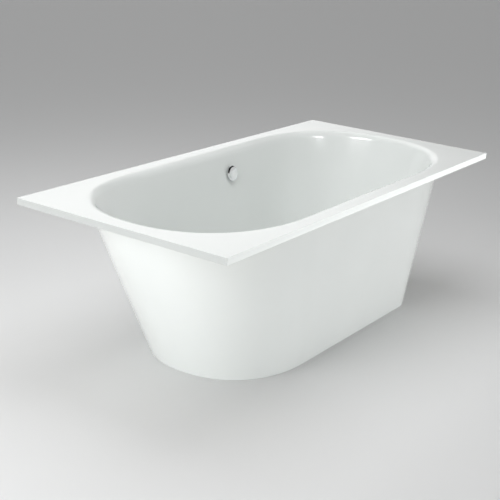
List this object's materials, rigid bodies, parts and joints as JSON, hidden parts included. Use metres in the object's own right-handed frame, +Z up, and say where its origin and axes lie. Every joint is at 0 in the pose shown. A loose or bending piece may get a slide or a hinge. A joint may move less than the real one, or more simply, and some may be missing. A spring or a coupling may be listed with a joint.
{
  "type": "built-in bathtub",
  "caption": "Built-in bathtub with a flat rectangular rim, leaning outer shell, levelling feet, trap, and a rotary overflow knob that lifts the pop-up plug.",
  "frame": {"origin": "on the floor, under the middle of the rim's rectangle", "axes": "+X along the tub, from the backrest to the far end; +Y across it, towards the side with the overflow; +Z up"},
  "size_m": [1.9, 0.9, 0.64],
  "materials": {
    "acrylic": "high-gloss white sanitary acrylic",
    "board": "plain chipboard",
    "steel": "zinc-plated",
    "chrome": "polished chrome",
    "grey_plastic": "moulded grey polypropylene",
    "white_plastic": "moulded white plastic",
    "rubber": "matt black rubber"
  },
  "bodies": {
    "tub": {"tub_shell": "acrylic", "rim_frame": "board", "outer_shell": "acrylic", "shell_screws": "steel", "base_board": "board", "near_rail": "steel", "far_rail": "steel", "rail_screws": "steel", "stud_nuts": "steel", "lock_nuts": "steel", "waste_flange": "chrome", "flange_seal": "rubber", "waste_gasket": "rubber", "waste_body": "grey_plastic", "lever_axle": "steel", "trap_nut": "white_plastic", "trap_washer": "rubber", "trap_cup": "grey_plastic", "trap_cap": "grey_plastic", "outlet_nut": "white_plastic", "outlet_bend": "grey_plastic", "overflow_body": "grey_plastic", "overflow_gasket": "rubber", "overflow_seal": "rubber", "overflow_plate": "chrome", "overflow_screws": "steel", "hose_nut_top": "white_plastic", "hose_nut_bottom": "white_plastic", "overflow_hose": "white_plastic", "cable_sheath": "rubber", "cable_ferrules": "steel"},
    "knob": {"overflow_knob": "chrome", "knob_spindle": "white_plastic"},
    "plug": {"plug_cap": "chrome", "plug_seal": "rubber", "plug_stem": "chrome"},
    "lever": {"lift_lever": "white_plastic"},
    "foot_1": {"foot_stud_1": "steel", "foot_pad_1": "rubber"},
    "foot_2": {"foot_stud_2": "steel", "foot_pad_2": "rubber"},
    "foot_3": {"foot_stud_3": "steel", "foot_pad_3": "rubber"},
    "foot_4": {"foot_stud_4": "steel", "foot_pad_4": "rubber"}
  },
  "joints": [
    {"name": "knob_turn", "type": "hinge", "parent": "tub", "child": "knob", "pos_m": [0.16, 0.34892, 0.539], "axis": [0, -0.9746, 0.2242], "range_deg": [0, 90]},
    {"name": "plug_lift", "type": "slide", "parent": "tub", "child": "plug", "axis": [0, 0, 1], "range_m": [0, 0.0102]},
    {"name": "lever_swing", "type": "hinge", "parent": "tub", "child": "lever", "pos_m": [0.178, 0, 0.13], "axis": [0, 1, 0], "range_deg": [0, 32.7]},
    {"name": "foot_1_adjust", "type": "slide", "parent": "tub", "child": "foot_1", "axis": [0, 0, 1], "range_m": [-0.02, 0]},
    {"name": "foot_2_adjust", "type": "slide", "parent": "tub", "child": "foot_2", "axis": [0, 0, 1], "range_m": [-0.02, 0]},
    {"name": "foot_3_adjust", "type": "slide", "parent": "tub", "child": "foot_3", "axis": [0, 0, 1], "range_m": [-0.02, 0]},
    {"name": "foot_4_adjust", "type": "slide", "parent": "tub", "child": "foot_4", "axis": [0, 0, 1], "range_m": [-0.02, 0]}
  ],
  "couplings": [
    {"joint": "plug_lift", "follows": "knob_turn", "m_per_rad": 0.0064324},
    {"joint": "lever_swing", "follows": "knob_turn", "ratio": 0.36222}
  ]
}
